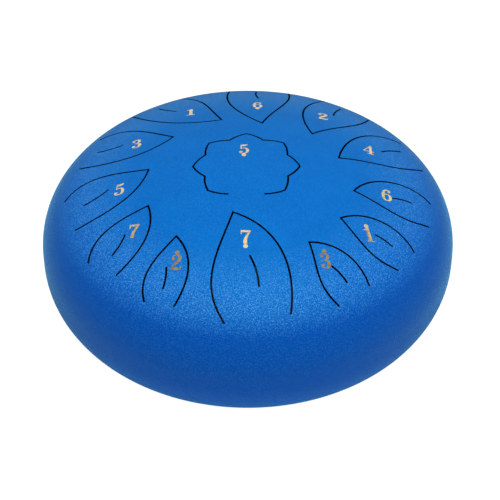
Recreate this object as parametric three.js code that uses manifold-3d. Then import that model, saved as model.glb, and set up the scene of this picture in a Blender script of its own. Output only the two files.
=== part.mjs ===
// A steel tongue drum, 300 mm across, with twelve leaf-shaped tongues round a lotus tongue.
// Millimetres, +Z up, origin on the table under the middle of the drum, player at -Y.
import * as THREE from "three";
import { mergeVertices } from "three/addons/utils/BufferGeometryUtils.js";
import Module from "manifold-3d";

const wasm = await Module();
wasm.setup();

const DEGREE = Math.PI / 180;

// Driving dimensions of the two pressed shells
const OUTER_RADIUS = 150;
const WALL = 2;
const CROWN_RADIUS = 290;
const KNUCKLE_RADIUS = 43;
const FLANGE_HEIGHT = 4;
const SOUND_HOLE_RADIUS = 45;

// Driving dimensions of the seam, welded all round and ground flush
const WELD_HEIGHT = 2;
const WELD_DEPTH = 1;

// Driving dimensions of the cut lines
const KERF = 1.4;
const HANDLE_SHARE = 0.4;
const SLIT_BEND_SHARE = 0.05;

// The lotus tongue has one petal left uncut, the one at the player's side, and hangs from it
const LOTUS_TIP_RADIUS = 38;
const LOTUS_NOTCH_RADIUS = 31.7;
const LOTUS_END_RADIUS = 34;
const LOTUS_PETALS = 8;
const LOTUS_PETAL_BULGE = 0.9;
const LOTUS_MIDDLE = new THREE.Vector2(-1, 0);

// The leaf tongues by note. Directions are degrees counter-clockwise from +X, seen from above,
// and left is the counter-clockwise side. Each side is one cut line from the tip to a root that
// lies past the crown's edge, and it leaves the tip and reaches the root at the given angles to
// its chord. The slit runs between two shares of the way from the tip to the crown's edge.
const TONGUES = {
  low7: {
    tip: { radius: 49.5, direction: -102 },
    left: { past: 1.5, direction: -77, tipAngle: 39, rootAngle: 35 },
    right: { past: 5.5, direction: -97, tipAngle: 12, rootAngle: 38 },
    slit: { shares: [0.46, 0.75], directions: [-89, -86] },
  },
  low6: {
    tip: { radius: 55.5, direction: 79 },
    left: { past: 4.5, direction: 96, tipAngle: 30, rootAngle: 29 },
    right: { past: 4.5, direction: 76, tipAngle: 4, rootAngle: 23 },
    slit: { shares: [0.7, 0.98], directions: [85.5, 87] },
  },
  middle1: {
    tip: { radius: 64, direction: 107.5 },
    left: { past: 4, direction: 132.5, tipAngle: 38, rootAngle: 32 },
    right: { past: 4.5, direction: 113.5, tipAngle: 3, rootAngle: 24 },
    slit: { shares: [0.62, 0.93], directions: [122, 124] },
  },
  middle2: {
    tip: { radius: 64.5, direction: 43 },
    left: { past: 4.5, direction: 63, tipAngle: 31, rootAngle: 32 },
    right: { past: 4.5, direction: 45, tipAngle: 2, rootAngle: 25 },
    slit: { shares: [0.66, 0.97], directions: [52, 55] },
  },
  middle3: {
    tip: { radius: 68.5, direction: 142.5 },
    left: { past: 1.5, direction: 166, tipAngle: 39, rootAngle: 31 },
    right: { past: 4, direction: 148.5, tipAngle: 8, rootAngle: 39 },
    slit: { shares: [0.6, 0.9], directions: [154, 157.5] },
  },
  middle4: {
    tip: { radius: 67.5, direction: 14 },
    left: { past: 5, direction: 29, tipAngle: 36, rootAngle: 55 },
    right: { past: 6.5, direction: 14, tipAngle: 3, rootAngle: 22 },
    slit: { shares: [0.66, 0.95], directions: [21.5, 23] },
  },
  middle5: {
    tip: { radius: 71, direction: 176.5 },
    left: { past: 1.5, direction: 197.5, tipAngle: 38, rootAngle: 25 },
    right: { past: 6, direction: 181.5, tipAngle: 14, rootAngle: 49 },
    slit: { shares: [0.53, 0.85], directions: [184.5, 188] },
  },
  middle6: {
    tip: { radius: 77, direction: -13.5 },
    left: { past: 5.5, direction: -3, tipAngle: 49, rootAngle: 57 },
    right: { past: 6, direction: -14, tipAngle: 6, rootAngle: 29 },
    slit: { shares: [0.56, 0.83], directions: [-8.5, -7] },
  },
  middle7: {
    tip: { radius: 77.5, direction: -154 },
    left: { past: -1, direction: -136, tipAngle: 38, rootAngle: 31 },
    right: { past: 5, direction: -147.5, tipAngle: 20, rootAngle: 44 },
    slit: { shares: [0.51, 0.81], directions: [-146.5, -143] },
  },
  high1: {
    tip: { radius: 79.5, direction: -36 },
    left: { past: 4.5, direction: -27.5, tipAngle: 48, rootAngle: 48 },
    right: { past: 4, direction: -37.5, tipAngle: 11, rootAngle: 33 },
    slit: { shares: [0.54, 0.81], directions: [-32, -31.5] },
  },
  high2: {
    tip: { radius: 81.5, direction: -127 },
    left: { past: 1, direction: -113, tipAngle: 38, rootAngle: 33 },
    right: { past: 4.5, direction: -122.5, tipAngle: 17, rootAngle: 40 },
    slit: { shares: [0.52, 0.83], directions: [-122, -119] },
  },
  high3: {
    tip: { radius: 82.5, direction: -59.5 },
    left: { past: 1, direction: -49.5, tipAngle: 40, rootAngle: 39 },
    right: { past: 4, direction: -62, tipAngle: 6, rootAngle: 30 },
    slit: { shares: [0.5, 0.83], directions: [-57, -55.5] },
  },
};

// Driving dimensions of the four rubber feet and of what fastens them, square to the shell
const REST_CLEARANCE = 6;
const FOOT_COUNT = 4;
const FOOT_CIRCLE_RADIUS = 70;
const FIRST_FOOT_DIRECTION = 45;
const FOOT_TOP_RADIUS = 11;
const FOOT_SOLE_RADIUS = 9;
const FOOT_COLLAR = 2.5;
const FOOT_WEB = 4;
const SCREW_RADIUS = 2;
const SCREW_HEAD_RADIUS = 3.8;
const SCREW_HEAD_HEIGHT = 2.4;
const SCREW_HEAD_CORNER = 0.8;
const SCREW_TAIL = 1.5;
const WASHER_RADIUS = 4.8;
const WASHER_THICKNESS = 0.8;
const NUT_ACROSS_FLATS = 7;
const NUT_HEIGHT = 3.2;

// The gap left between pieces that fit together
const FIT = 0.3;

// Facets
const SHELL_SEGMENTS = 60;
const CROWN_STEPS = 6;
const KNUCKLE_STEPS = 6;
const SIDE_STEPS = 8;
const PETAL_STEPS = 3;
const SLIT_STEPS = 3;
const SLIT_END_STEPS = 3;
const FOOT_SEGMENTS = 20;
const SCREW_SEGMENTS = 12;

// Heights here are measured from the seam. The knuckle's arc runs into the flange and the crown.
const KNUCKLE_MIDDLE = new THREE.Vector2(OUTER_RADIUS - KNUCKLE_RADIUS, FLANGE_HEIGHT);
const CROWN_TO_KNUCKLE = CROWN_RADIUS - KNUCKLE_RADIUS;
const CROWN_EDGE_ANGLE = Math.asin(KNUCKLE_MIDDLE.x / CROWN_TO_KNUCKLE);
const CROWN_MIDDLE = new THREE.Vector2(0, FLANGE_HEIGHT - CROWN_TO_KNUCKLE * Math.cos(CROWN_EDGE_ANGLE));
const CROWN_EDGE_RADIUS = CROWN_RADIUS * Math.sin(CROWN_EDGE_ANGLE);
const APEX_HEIGHT = CROWN_MIDDLE.y + CROWN_RADIUS;

function crownHeight(radius) {
  return CROWN_MIDDLE.y + Math.sqrt(CROWN_RADIUS ** 2 - radius ** 2);
}

// The table lies below the metal round the sound hole, and a foot's seat is square to the crown
const SEAM_HEIGHT = crownHeight(SOUND_HOLE_RADIUS) + REST_CLEARANCE;
const FOOT_SEAT_HEIGHT = -crownHeight(FOOT_CIRCLE_RADIUS);
const FOOT_TILT = Math.asin(FOOT_CIRCLE_RADIUS / CROWN_RADIUS);
const BOLT_HOLE_RADIUS = SCREW_RADIUS + FIT;

const PAINT = { color: 0x0a74c4, roughness: 0.45, metalness: 0.3 };
const RUBBER = { color: 0x1a1a1c, roughness: 0.9, metalness: 0 };
const ZINC = { color: 0xb9bcc0, roughness: 0.35, metalness: 0.9 };

function polar(radius, direction) {
  return new THREE.Vector2(Math.cos(direction), Math.sin(direction)).multiplyScalar(radius);
}

function arc(middle, radius, from, to, steps) {
  const points = [];
  for (let i = 0; i <= steps; i += 1) {
    points.push(polar(radius, from + ((to - from) * i) / steps).add(middle));
  }
  return points;
}

// Closed solids from geometries and back
function solidOf(geometry) {
  const bare = geometry.clone();
  bare.deleteAttribute("normal");
  bare.deleteAttribute("uv");
  const merged = mergeVertices(bare);
  const corners = merged.index.array;
  const triangles = [];
  for (let i = 0; i < corners.length; i += 3) {
    const [a, b, c] = corners.slice(i, i + 3);
    if (a !== b && b !== c && c !== a) {
      triangles.push(a, b, c);
    }
  }
  const vertProperties = merged.attributes.position.array;
  const triVerts = Uint32Array.from(triangles);
  return new wasm.Manifold(new wasm.Mesh({ numProp: 3, vertProperties, triVerts }));
}

function geometryOf(solid) {
  const mesh = solid.getMesh();
  const geometry = new THREE.BufferGeometry();
  geometry.setAttribute("position", new THREE.BufferAttribute(mesh.vertProperties, 3));
  geometry.setIndex(new THREE.BufferAttribute(mesh.triVerts, 1));
  geometry.computeVertexNormals();
  return geometry;
}

function cutAway(geometry, cutters) {
  const solid = cutters.reduce((rest, cutter) => rest.subtract(solidOf(cutter)), solidOf(geometry));
  return geometryOf(solid);
}

// A profile of (radius, height) points turned about Z, its height going up on the outside
function revolve(profile, segments) {
  return new THREE.LatheGeometry(profile, segments).rotateX(Math.PI / 2);
}

// Half the section of a pressed half, above the seam: its skin at a depth below the outside
function skin(depth, endRadius) {
  const crownRadius = CROWN_RADIUS - depth;
  const edge = Math.PI / 2 - CROWN_EDGE_ANGLE;
  const end = Math.PI / 2 - Math.asin(endRadius / crownRadius);
  const knuckle = arc(KNUCKLE_MIDDLE, KNUCKLE_RADIUS - depth, 0, edge, KNUCKLE_STEPS);
  const crown = arc(CROWN_MIDDLE, crownRadius, edge, end, CROWN_STEPS);
  crown[CROWN_STEPS].x = endRadius;
  return [...knuckle, ...crown.slice(1)];
}

// From the crown's end down the inside, round the flange's edge and up the outside. The edge has
// a rebate outside for the weld, and its inner half meets the other shell.
function pressing(endRadius) {
  const rebateRadius = OUTER_RADIUS - WELD_DEPTH;
  return [
    ...skin(WALL, endRadius).reverse(),
    new THREE.Vector2(OUTER_RADIUS - WALL, 0),
    new THREE.Vector2(rebateRadius, 0),
    new THREE.Vector2(rebateRadius, WELD_HEIGHT / 2),
    new THREE.Vector2(OUTER_RADIUS, WELD_HEIGHT / 2),
    ...skin(0, endRadius),
  ];
}

// Closes a section that doesn't start and end on the axis
function closed(profile) {
  return [...profile, profile[0].clone()];
}

// The outline of a cut along a line: both its sides, mitred at corners, and its round ends
function slitOutline(line) {
  const half = KERF / 2;
  const last = line.length - 1;
  const courses = [];
  for (let i = 0; i < last; i += 1) {
    courses.push(line[i + 1].clone().sub(line[i]).angle());
  }
  const left = [];
  const right = [];
  for (let i = 1; i < last; i += 1) {
    const bend = Math.atan2(Math.sin(courses[i] - courses[i - 1]), Math.cos(courses[i] - courses[i - 1]));
    const across = courses[i - 1] + bend / 2 + Math.PI / 2;
    const reach = half / Math.cos(bend / 2);
    left.push(polar(reach, across).add(line[i]));
    right.push(polar(-reach, across).add(line[i]));
  }
  const start = courses[0] + Math.PI / 2;
  const end = courses[last - 1] - Math.PI / 2;
  return [
    ...arc(line[0], half, start, start + Math.PI, SLIT_END_STEPS),
    ...right,
    ...arc(line[last], half, end, end + Math.PI, SLIT_END_STEPS),
    ...left.reverse(),
  ];
}

// A cutter for a line seen from above: it goes straight down through the crown
function kerf(line) {
  const shape = new THREE.Shape(slitOutline(line));
  const depth = APEX_HEIGHT;
  const cutter = new THREE.ExtrudeGeometry(shape, { depth, bevelEnabled: false });
  return cutter.translate(0, 0, FLANGE_HEIGHT);
}

// One side of a tongue, from its tip to its root, as a smooth curve that bulges to one side
function tongueSide(tip, root, tipAngle, rootAngle, turn) {
  const chord = root.clone().sub(tip);
  const course = chord.angle();
  const handle = HANDLE_SHARE * chord.length();
  const nearTip = polar(handle, course + turn * tipAngle * DEGREE).add(tip);
  const nearRoot = polar(-handle, course - turn * rootAngle * DEGREE).add(root);
  return new THREE.CubicBezierCurve(tip, nearTip, nearRoot, root).getPoints(SIDE_STEPS);
}

function tongueLine({ tip, left, right }) {
  const point = polar(tip.radius, tip.direction * DEGREE);
  const side = ({ past, direction, tipAngle, rootAngle }, turn) => {
    const root = polar(CROWN_EDGE_RADIUS + past, direction * DEGREE);
    return tongueSide(point, root, tipAngle, rootAngle, turn);
  };
  return [...side(left, 1).reverse(), ...side(right, -1).slice(1)];
}

// The short bent slit near a tongue's root
function slitLine({ tip, slit }) {
  const reach = CROWN_EDGE_RADIUS - tip.radius;
  const [from, to] = slit.shares.map((share, i) =>
    polar(tip.radius + share * reach, slit.directions[i] * DEGREE));
  const chord = to.clone().sub(from);
  const bulge = polar(2 * SLIT_BEND_SHARE * chord.length(), chord.angle() + Math.PI / 2);
  const between = from.clone().lerp(to, 0.5).add(bulge);
  return new THREE.QuadraticBezierCurve(from, between, to).getPoints(SLIT_STEPS);
}

// The lotus: each petal's two edges arch outwards between a notch and the petal's pointed tip.
// The cut ends beside the uncut petal, a little further out than the notches.
function lotusLine() {
  const petal = (2 * Math.PI) / LOTUS_PETALS;
  const line = [];
  for (let i = 1; i < LOTUS_PETALS; i += 1) {
    const direction = -Math.PI / 2 + i * petal;
    const tip = polar(LOTUS_TIP_RADIUS, direction);
    for (const side of [-1, 1]) {
      const isEnd = i + side === 0 || i + side === LOTUS_PETALS;
      const notchRadius = isEnd ? LOTUS_END_RADIUS : LOTUS_NOTCH_RADIUS;
      const notch = polar(notchRadius, direction + (side * petal) / 2);
      const [from, to] = side < 0 ? [notch, tip] : [tip, notch];
      const chord = to.clone().sub(from);
      const bulge = polar(2 * LOTUS_PETAL_BULGE, chord.angle() - Math.PI / 2);
      const between = from.clone().lerp(to, 0.5).add(bulge);
      const edge = new THREE.QuadraticBezierCurve(from, between, to).getPoints(PETAL_STEPS);
      line.push(...edge.slice(line.length > 0 ? 1 : 0));
    }
  }
  return line.map((point) => point.add(LOTUS_MIDDLE));
}

function topShell() {
  const tongues = Object.values(TONGUES);
  const lines = [lotusLine(), ...tongues.map(tongueLine), ...tongues.map(slitLine)];
  return cutAway(revolve(pressing(0), SHELL_SEGMENTS), lines.map(kerf));
}

// Places things on the seat of a foot, with +Z square to the shell and into the drum
function footFrame(number) {
  const direction = FIRST_FOOT_DIRECTION * DEGREE + (2 * Math.PI * number) / FOOT_COUNT;
  return new THREE.Matrix4()
    .makeRotationZ(direction)
    .multiply(new THREE.Matrix4().makeTranslation(FOOT_CIRCLE_RADIUS, 0, FOOT_SEAT_HEIGHT))
    .multiply(new THREE.Matrix4().makeRotationY(-FOOT_TILT));
}

function bottomShell() {
  const section = pressing(SOUND_HOLE_RADIUS).map((point) => new THREE.Vector2(point.x, -point.y));
  const shell = revolve(closed(section.reverse()), SHELL_SEGMENTS);
  const holes = [];
  for (let i = 0; i < FOOT_COUNT; i += 1) {
    const drill = new THREE.CylinderGeometry(BOLT_HOLE_RADIUS, BOLT_HOLE_RADIUS, 4 * WALL, SCREW_SEGMENTS);
    holes.push(drill.rotateX(Math.PI / 2).applyMatrix4(footFrame(i)));
  }
  return cutAway(shell, holes);
}

function seamWeld() {
  const half = WELD_HEIGHT / 2;
  const inner = OUTER_RADIUS - WELD_DEPTH + FIT;
  return revolve(closed(ring(inner, OUTER_RADIUS, -half, half)), SHELL_SEGMENTS);
}

// A rectangular section between two radii and two heights
function ring(inner, outer, low, high) {
  return [
    new THREE.Vector2(inner, low),
    new THREE.Vector2(outer, low),
    new THREE.Vector2(outer, high),
    new THREE.Vector2(inner, high),
  ];
}

// Heights along a foot's fastening, from its seat on the outside of the shell
const WEB_TOP = -FIT;
const WEB_BOTTOM = WEB_TOP - FOOT_WEB;
const WASHER_BOTTOM = WEB_BOTTOM - FIT - WASHER_THICKNESS;
const HEAD_TOP = WASHER_BOTTOM - FIT;
const INNER_WASHER_BOTTOM = WALL + FIT + WASHER_RADIUS ** 2 / (2 * CROWN_RADIUS);
const NUT_BOTTOM = INNER_WASHER_BOTTOM + WASHER_THICKNESS + FIT;
const SCREW_END = NUT_BOTTOM + NUT_HEIGHT + SCREW_TAIL;
const RECESS_RADIUS = WASHER_RADIUS + FIT;

// A tapered rubber foot with a recess for the screw's head, its sole cut level with the table
function rubberFoot() {
  const drop = SEAM_HEIGHT + FOOT_SEAT_HEIGHT;
  const bottom = -(drop + 2 * FOOT_TOP_RADIUS * Math.tan(FOOT_TILT));
  const profile = [
    new THREE.Vector2(BOLT_HOLE_RADIUS, WEB_TOP),
    new THREE.Vector2(BOLT_HOLE_RADIUS, WEB_BOTTOM),
    new THREE.Vector2(RECESS_RADIUS, WEB_BOTTOM),
    new THREE.Vector2(RECESS_RADIUS, bottom),
    new THREE.Vector2(FOOT_SOLE_RADIUS, bottom),
    new THREE.Vector2(FOOT_TOP_RADIUS, WEB_TOP - FOOT_COLLAR),
    new THREE.Vector2(FOOT_TOP_RADIUS, WEB_TOP),
  ];
  const blank = revolve(closed(profile), FOOT_SEGMENTS).rotateY(-FOOT_TILT);
  const size = 4 * FOOT_TOP_RADIUS;
  const table = new THREE.BoxGeometry(size, size, size).translate(0, 0, -drop - size / 2);
  return cutAway(blank, [table]);
}

function footScrew() {
  const corner = SCREW_HEAD_CORNER;
  const headBottom = HEAD_TOP - SCREW_HEAD_HEIGHT;
  return revolve([
    new THREE.Vector2(0, headBottom),
    new THREE.Vector2(SCREW_HEAD_RADIUS - corner, headBottom),
    new THREE.Vector2(SCREW_HEAD_RADIUS, headBottom + corner),
    new THREE.Vector2(SCREW_HEAD_RADIUS, HEAD_TOP),
    new THREE.Vector2(SCREW_RADIUS, HEAD_TOP),
    new THREE.Vector2(SCREW_RADIUS, SCREW_END),
    new THREE.Vector2(0, SCREW_END),
  ], SCREW_SEGMENTS);
}

function washer(low) {
  const section = ring(BOLT_HOLE_RADIUS, WASHER_RADIUS, low, low + WASHER_THICKNESS);
  return revolve(closed(section), FOOT_SEGMENTS);
}

function hexNut() {
  const corner = NUT_ACROSS_FLATS / 2 / Math.cos(Math.PI / 6);
  const outline = new THREE.Shape(arc(new THREE.Vector2(), corner, 0, 2 * Math.PI, 6).slice(0, 6));
  const hole = arc(new THREE.Vector2(), BOLT_HOLE_RADIUS, 0, -2 * Math.PI, SCREW_SEGMENTS);
  outline.holes.push(new THREE.Path(hole.slice(0, SCREW_SEGMENTS)));
  const nut = new THREE.ExtrudeGeometry(outline, { depth: NUT_HEIGHT, bevelEnabled: false });
  return nut.translate(0, 0, NUT_BOTTOM);
}

function piece(name, geometry, finish) {
  const mesh = new THREE.Mesh(geometry, new THREE.MeshStandardMaterial(finish));
  mesh.name = name;
  return mesh;
}

// The drum is put together about the middle of its seam, and stands on the table on its feet
const body = new THREE.Group();
body.position.z = SEAM_HEIGHT;
body.add(piece("top_shell", topShell(), PAINT));
body.add(piece("bottom_shell", bottomShell(), PAINT));
body.add(piece("seam_weld", seamWeld(), PAINT));

for (let i = 0; i < FOOT_COUNT; i += 1) {
  const number = i + 1;
  const seat = new THREE.Group();
  footFrame(i).decompose(seat.position, seat.quaternion, seat.scale);
  const foot = piece(`rubber_foot_${number}`, rubberFoot(), RUBBER);
  foot.rotation.y = FOOT_TILT;
  seat.add(foot);
  seat.add(piece(`foot_screw_${number}`, footScrew(), ZINC));
  seat.add(piece(`foot_washer_${number}`, washer(WASHER_BOTTOM), ZINC));
  seat.add(piece(`inner_washer_${number}`, washer(INNER_WASHER_BOTTOM), ZINC));
  seat.add(piece(`foot_nut_${number}`, hexNut(), ZINC));
  body.add(seat);
}

const drum = new THREE.Group();
drum.add(body);

export default drum;
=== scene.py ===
# %% [markdown]
# # A steel tongue drum
#
# The drum is two pressed steel bowls, welded rim to rim and powder coated in one sky blue. A laser
# has cut thirteen tongues in the top: a lotus in the middle and twelve leaves round it. Each tongue
# wears a gold foil numeral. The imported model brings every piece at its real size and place. This
# lesson gives each piece its smooth final shape and its finish, and moves nothing.

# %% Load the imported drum
import math

import bmesh
import bpy
from bmesh.types import BMEdge, BMFace, BMVert
from mathutils import Matrix, Vector
from mathutils.geometry import delaunay_2d_cdt, interpolate_bezier


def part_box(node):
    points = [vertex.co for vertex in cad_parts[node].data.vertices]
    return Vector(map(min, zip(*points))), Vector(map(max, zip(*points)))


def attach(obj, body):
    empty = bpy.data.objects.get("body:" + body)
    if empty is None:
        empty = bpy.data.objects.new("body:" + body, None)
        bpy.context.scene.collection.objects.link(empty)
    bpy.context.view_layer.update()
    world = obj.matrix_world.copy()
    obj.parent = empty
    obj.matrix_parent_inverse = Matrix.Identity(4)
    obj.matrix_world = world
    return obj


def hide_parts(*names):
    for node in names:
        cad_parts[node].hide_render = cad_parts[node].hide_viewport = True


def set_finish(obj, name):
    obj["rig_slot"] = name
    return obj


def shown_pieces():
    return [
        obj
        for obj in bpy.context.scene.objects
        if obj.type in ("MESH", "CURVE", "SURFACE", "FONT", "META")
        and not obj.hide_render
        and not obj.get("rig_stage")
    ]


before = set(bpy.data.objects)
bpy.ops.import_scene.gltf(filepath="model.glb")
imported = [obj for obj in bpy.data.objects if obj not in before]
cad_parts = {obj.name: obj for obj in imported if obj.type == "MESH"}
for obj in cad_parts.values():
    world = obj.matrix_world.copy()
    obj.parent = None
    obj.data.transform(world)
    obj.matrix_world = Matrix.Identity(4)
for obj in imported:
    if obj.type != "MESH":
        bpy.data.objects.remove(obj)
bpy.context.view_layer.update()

# %% [markdown]
# ## The shape of a pressed bowl
#
# Seen from the side, each bowl is a wide shallow crown, an arc with a long radius, that runs into
# the rim through a much tighter arc, the knuckle, and ends in a short upright flange. Three radii
# and the flange's height describe all of it. The outer radius and the height of the seam are
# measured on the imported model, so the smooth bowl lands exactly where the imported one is.

# %% The lengths that everything follows
MM = 0.001
DEGREE = math.pi / 180
# the gap between pieces that fit together
FIT = 0.3 * MM

shell_low, shell_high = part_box("top_shell")
OUTER_RADIUS = (shell_high.x - shell_low.x) / 2
SEAM_HEIGHT = shell_low.z
WALL = 2 * MM
CROWN_RADIUS = 290 * MM
KNUCKLE_RADIUS = 43 * MM
FLANGE_HEIGHT = 4 * MM

knuckle_middle = OUTER_RADIUS - KNUCKLE_RADIUS
crown_to_knuckle = CROWN_RADIUS - KNUCKLE_RADIUS
crown_middle = FLANGE_HEIGHT - math.sqrt(crown_to_knuckle ** 2 - knuckle_middle ** 2)
crown_edge = CROWN_RADIUS * knuckle_middle / crown_to_knuckle
print(f"The crown runs out to {crown_edge / MM:.1f} mm, the knuckle on to {OUTER_RADIUS / MM:.0f} mm")

# %% [markdown]
# ## Cut it flat, then press it
#
# Cutting thin curved lines out of a dome is hard work for any modelling tool: a boolean leaves long
# crumpled faces beside the cut, and they shade badly. It is far easier to cut a flat plate and to
# press the finished plate into the bowl afterwards. So every shell here is first a flat plate whose
# thickness lies below zero. One function then moves each vertex onto the bowl: its place in the
# plate gives the place on the crown or knuckle, and its depth in the plate becomes depth in the wall.

# %% The press
def pressed(vertex, side):
    """Where a vertex of the flat plate goes: side is 1 for the upper bowl and -1 for the lower."""
    plan = Vector(vertex[:2])
    depth = -vertex[2]
    radius = plan.length
    if radius <= crown_edge:
        rise = math.sqrt(CROWN_RADIUS ** 2 - radius ** 2)
        outward = Vector((plan.x, plan.y, rise)) / CROWN_RADIUS
        point = Vector((0, 0, crown_middle)) + outward * (CROWN_RADIUS - depth)
    else:
        run = radius - knuckle_middle
        rise = math.sqrt(max(KNUCKLE_RADIUS ** 2 - run ** 2, 0))
        across = plan / radius
        outward = Vector((across.x * run, across.y * run, rise)) / KNUCKLE_RADIUS
        middle = Vector((across.x * knuckle_middle, across.y * knuckle_middle, FLANGE_HEIGHT))
        point = middle + outward * (KNUCKLE_RADIUS - depth)
    return Vector((point.x, point.y, SEAM_HEIGHT + side * point.z))


def press(mesh, side):
    """Presses a whole flat plate, and turns it the right way out when it goes to the lower side."""
    for vertex in mesh.verts:
        vertex.co = pressed(vertex.co, side)
    if side < 0:
        bmesh.ops.reverse_faces(mesh, faces=mesh.faces)


apex = pressed((0, 0, 0), 1)
print(f"A vertex at the middle of the plate goes to {apex.z / MM:.2f} mm above the table")

# %% [markdown]
# ## Even triangles for any flat outline
#
# Blender's own fill makes long thin triangles between distant corners. They are fine on a flat
# plate, but once it is pressed they would lie inside the dome like shallow facets. A constrained
# Delaunay triangulation takes the outlines and extra points between them, and joins them all into
# even triangles. The extra points form a honeycomb, and a sieve keeps out the ones that would lie
# too near an outline and squeeze the triangles beside it.

# %% Points that keep their distance
class PointSieve:
    """Takes points one after the other, and refuses one that lies too near an earlier one."""

    def __init__(self, room):
        self.room = room
        self.cells = {}

    def cell(self, point):
        return math.floor(point.x / self.room), math.floor(point.y / self.room)

    def add(self, point):
        self.cells.setdefault(self.cell(point), []).append(point)

    def has_room(self, point):
        column, row = self.cell(point)
        near = [
            other
            for i in (-1, 0, 1)
            for j in (-1, 0, 1)
            for other in self.cells.get((column + i, row + j), [])
        ]
        return all((other - point).length >= self.room for other in near)


def honeycomb(reach, step):
    """Points in even rows over a square that reaches this far from the middle."""
    rise = step * math.sqrt(3) / 2
    points = []
    for row in range(-round(reach / rise), round(reach / rise) + 1):
        shift = step / 2 if row % 2 else 0
        for column in range(-round(reach / step), round(reach / step) + 1):
            points.append(Vector((column * step + shift, row * rise)))
    return points


print(f"A honeycomb 0.3 apart that reaches 0.9 each way has {len(honeycomb(0.9, 0.3))} points")

# %% [markdown]
# ## The sheet filler
#
# The triangulation also says which outlines each triangle lies in. Overlapping outlines therefore
# merge into one sheet, and those that are holes stay empty. The outlines come first in its list and
# the holes after them, so a triangle belongs to the sheet if the last of its owners is an outline.

# %% The sheet filler
INSIDE_ONLY = 1
NEGLIGIBLE = 1e-8


def fill_sheet(mesh, outlines, holes, between, room):
    """Adds flat faces inside the outlines and outside the holes, through the points between."""
    corners = []
    loops = []
    for loop in [*outlines, *holes]:
        loops.append(list(range(len(corners), len(corners) + len(loop))))
        corners.extend(loop)
    sieve = PointSieve(room)
    for corner in corners:
        sieve.add(corner)
    for point in between:
        if sieve.has_room(point):
            sieve.add(point)
            corners.append(point)
    points, _, triangles, _, _, owners = delaunay_2d_cdt(
        corners, [], loops, INSIDE_ONLY, NEGLIGIBLE, True)
    vertices = {}
    for triangle, owner in zip(triangles, owners):
        if owner and max(owner) < len(outlines):
            for i in triangle:
                if i not in vertices:
                    vertices[i] = mesh.verts.new((points[i].x, points[i].y, 0))
            mesh.faces.new([vertices[i] for i in triangle])


trial = bmesh.new()
square = [Vector(corner) for corner in ((-1, -1), (1, -1), (1, 1), (-1, 1))]
fill_sheet(trial, [square], [], honeycomb(0.9, 0.3), 0.2)
print(f"A square with a honeycomb inside becomes {len(trial.faces)} even triangles")
trial.free()

# %% [markdown]
# ## The laser's lines
#
# A laser cut is a centre line with a width. Each leaf has a bulging side to the left and to the
# right of its tip, and a short bent slit near its root, and the lotus is a ring of pointed petals
# with one petal left uncut. All are Bezier curves with a few handles. The cut is drawn as a band
# along the line, mitred at its corners and round at its ends, so that the same line can be drawn
# narrow or wide with the same number of points.

# %% Lines
KERF = 1.4 * MM
PAINT = 0.03 * MM
LINE_STEP = 1.5 * MM
CORNER_ROOM = 2.6 * MM
END_STEPS = 6
CURVE_SAMPLES = 200


def polar(radius, direction):
    return Vector((radius * math.cos(direction), radius * math.sin(direction)))


def thinned(points):
    """Even steps along a finely sampled curve, with room at both ends for the mitre of a corner."""
    kept = [points[0]]
    for point in points[1:-1]:
        stepped = (point - kept[-1]).length >= LINE_STEP
        clear = min((point - points[0]).length, (point - points[-1]).length) >= CORNER_ROOM
        if stepped and clear:
            kept.append(point)
    return [*kept, points[-1]]


def cubic(start, near_start, near_end, end):
    points = interpolate_bezier(start, near_start, near_end, end, CURVE_SAMPLES)
    return thinned([Vector(point[:2]) for point in points])


def quadratic(start, between, end):
    return cubic(start, start.lerp(between, 2 / 3), end.lerp(between, 2 / 3), end)


def course(line):
    return math.atan2(line.y, line.x)


def band(line, half_width):
    """The outline of a cut along a line: its round start, one side, its round end, the other side."""
    courses = [course(b - a) for a, b in zip(line, line[1:])]
    left = []
    right = []
    for i in range(1, len(line) - 1):
        bend = (courses[i] - courses[i - 1] + math.pi) % math.tau - math.pi
        reach = half_width / math.cos(bend / 2)
        across = polar(reach, courses[i - 1] + bend / 2 + math.pi / 2)
        left.append(line[i] + across)
        right.append(line[i] - across)

    def round_end(middle, first):
        turns = [first + math.pi * step / END_STEPS for step in range(END_STEPS + 1)]
        return [middle + polar(half_width, turn) for turn in turns]

    start = round_end(line[0], courses[0] + math.pi / 2)
    end = round_end(line[-1], courses[-1] - math.pi / 2)
    return [*start, *right, *end, *reversed(left)]


trial_line = cubic((0, 0), (0.01, 0.01), (0.02, 0.01), (0.03, 0))
print(f"A cut 30 mm long is drawn with {len(band(trial_line, KERF / 2))} points")

# %% [markdown]
# ## Twelve leaves
#
# Each leaf has its tip towards the middle. Its two sides swell out and end near the crown's edge.
# The left one, which lies further round anticlockwise, always swells more at the tip, and that
# gives the ring its swirl. On the whole, the longer the leaf, the lower its note. The table repeats
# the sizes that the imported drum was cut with: millimetres for radii, degrees for all angles.

# %% The leaf tongues
HANDLE_SHARE = 0.4
SLIT_BEND_SHARE = 0.05

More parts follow.
